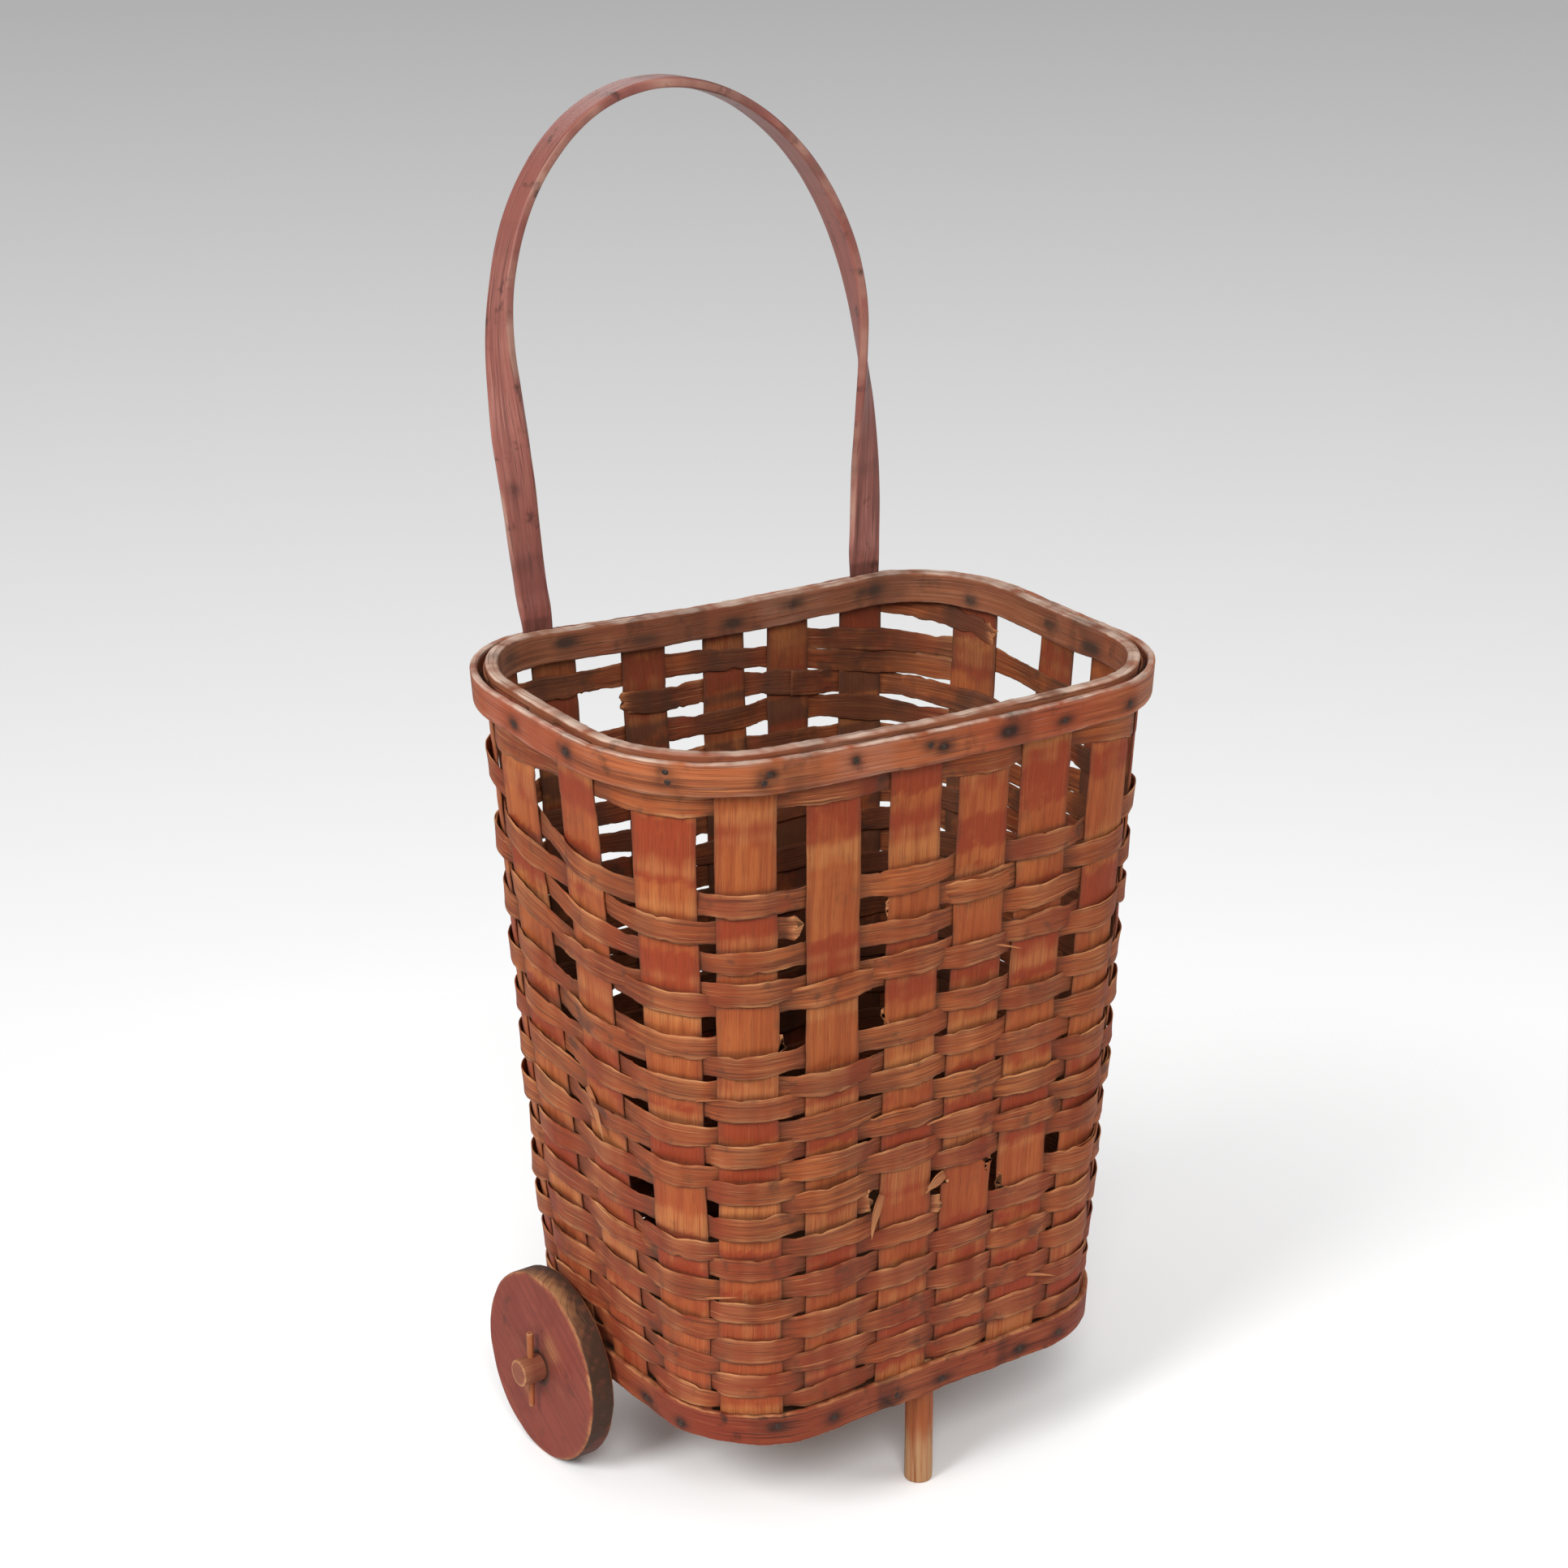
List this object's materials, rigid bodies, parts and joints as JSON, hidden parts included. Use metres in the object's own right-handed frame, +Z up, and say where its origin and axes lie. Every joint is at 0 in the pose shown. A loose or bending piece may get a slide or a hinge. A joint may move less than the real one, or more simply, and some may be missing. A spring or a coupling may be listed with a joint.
{
  "type": "market basket cart",
  "caption": "Tall woven splint basket with a bent hoop handle at its back, standing on two wooden disc wheels and a peg leg, for carrying shopping by hand or pulling it along.",
  "frame": {"origin": "on the ground, under the middle of the cart's box", "axes": "+Z up, X along the basket between the wheels, +Y from the leg side to the handle side"},
  "size_m": [0.444, 0.2968, 0.914],
  "materials": {
    "stake_wood": "aged golden-orange splint",
    "weaver_wood": "aged red-brown splint, worn pale in places",
    "rim_wood": "aged orange-brown bent wood",
    "handle_wood": "dark red-brown, polished by hands",
    "wheel_wood": "worn red-brown board",
    "axle_wood": "worn brown dowel",
    "leg_wood": "brown dowel, scuffed pale at its foot",
    "floor_wood": "plain darkened board",
    "nail_iron": "dark rusted nail heads"
  },
  "bodies": {
    "basket": {"stake_01": "stake_wood", "stake_02": "stake_wood", "stake_03": "stake_wood", "stake_04": "stake_wood", "stake_05": "stake_wood", "stake_06": "stake_wood", "stake_07": "stake_wood", "stake_08": "stake_wood", "stake_09": "stake_wood", "stake_10": "stake_wood", "stake_11": "stake_wood", "stake_12": "stake_wood", "stake_13": "stake_wood", "stake_14": "stake_wood", "stake_15": "stake_wood", "stake_16": "stake_wood", "stake_17": "stake_wood", "stake_18": "stake_wood", "stake_19": "stake_wood", "stake_20": "stake_wood", "weaver_01": "weaver_wood", "weaver_02": "weaver_wood", "weaver_03": "weaver_wood", "weaver_04": "weaver_wood", "weaver_05": "weaver_wood", "weaver_06": "weaver_wood", "weaver_07": "weaver_wood", "weaver_08": "weaver_wood", "weaver_09": "weaver_wood", "weaver_10": "weaver_wood", "weaver_11": "weaver_wood", "weaver_12": "weaver_wood", "weaver_13": "weaver_wood", "weaver_14": "weaver_wood", "weaver_15": "weaver_wood", "weaver_16": "weaver_wood", "weaver_17": "weaver_wood", "weaver_18": "weaver_wood", "weaver_19": "weaver_wood", "weaver_20": "weaver_wood", "weaver_21": "weaver_wood", "weaver_22": "weaver_wood", "weaver_23": "weaver_wood", "weaver_24": "weaver_wood", "rim_weaver": "weaver_wood", "foot_hoop": "rim_wood", "rim_hoop_outer": "rim_wood", "rim_hoop_inner": "rim_wood", "handle": "handle_wood", "axle": "axle_wood", "linchpin_left": "axle_wood", "linchpin_right": "axle_wood", "leg": "leg_wood", "floor_board": "floor_wood", "axle_block_left": "floor_wood", "axle_block_right": "floor_wood"},
    "wheel_left": {"wheel_left": "wheel_wood"},
    "wheel_right": {"wheel_right": "wheel_wood"}
  },
  "joints": [
    {"name": "left_wheel_spin", "type": "hinge", "parent": "basket", "child": "wheel_left", "pos_m": [-0.185, 0.0463, 0.0665], "axis": [1, 0, 0], "continuous": true},
    {"name": "right_wheel_spin", "type": "hinge", "parent": "basket", "child": "wheel_right", "pos_m": [0.185, 0.0463, 0.0665], "axis": [1, 0, 0], "continuous": true}
  ]
}
